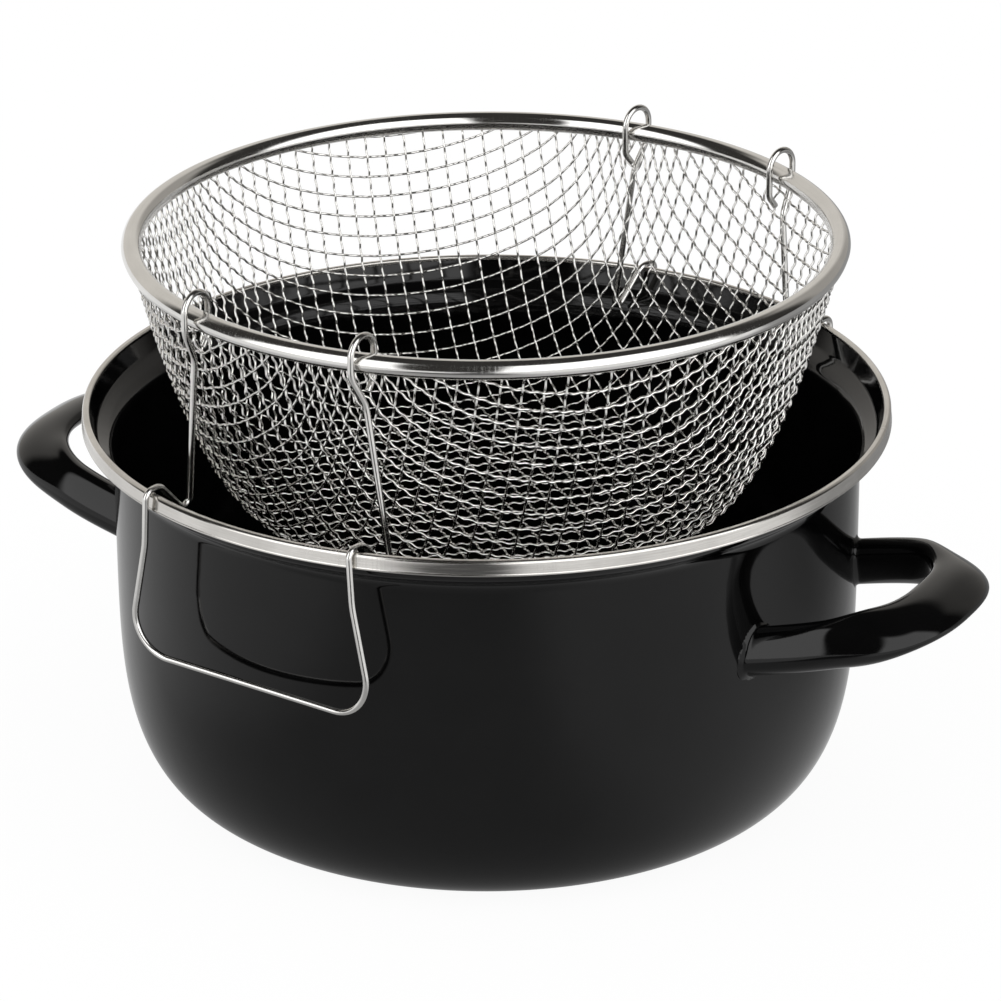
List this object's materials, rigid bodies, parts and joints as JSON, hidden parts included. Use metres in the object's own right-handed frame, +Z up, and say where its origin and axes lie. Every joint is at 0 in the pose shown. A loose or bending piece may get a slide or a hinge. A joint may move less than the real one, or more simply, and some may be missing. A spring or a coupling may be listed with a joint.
{
  "type": "deep fry pot with basket",
  "caption": "Enamelled deep fry pot with loop handles and a wire mesh basket whose wire bails hook over the pot's rim to drain.",
  "frame": {"origin": "middle of the pot's base, on the surface it stands on", "axes": "+Z up, +X towards the right handle, -Y towards the front bail"},
  "size_m": [0.3302, 0.2575, 0.1859],
  "materials": {
    "black_enamel": "gloss",
    "handle_enamel": "gloss",
    "polished_trim": "polished",
    "polished_rim": "polished",
    "mesh_wire": "bright",
    "bail_wire": "bright"
  },
  "bodies": {
    "pot": {"pot_body": "black_enamel", "pot_rim_trim": "polished_trim", "left_handle": "handle_enamel", "right_handle": "handle_enamel"},
    "basket": {"basket_mesh": "mesh_wire", "basket_rim": "polished_rim"},
    "front_bail": {"front_bail": "bail_wire"},
    "rear_bail": {"rear_bail": "bail_wire"}
  },
  "joints": [
    {"name": "basket_lift", "type": "slide", "parent": "pot", "child": "basket", "axis": [0, 0, 1], "range_m": [0, 0.25]},
    {"name": "front_bail_swing", "type": "hinge", "parent": "basket", "child": "front_bail", "pos_m": [-0.01363, -0.10354, 0.1767], "axis": [-0.9914, 0.1305, 0], "range_deg": [0, 180]},
    {"name": "rear_bail_swing", "type": "hinge", "parent": "basket", "child": "rear_bail", "pos_m": [0.02738, 0.10078, 0.1767], "axis": [0.965, -0.2622, 0], "range_deg": [0, 180]}
  ],
  "couplings": [
    {"joint": "front_bail_swing", "follows": "basket_lift", "rad_per_m": 12.5},
    {"joint": "rear_bail_swing", "follows": "basket_lift", "rad_per_m": 12.5}
  ]
}
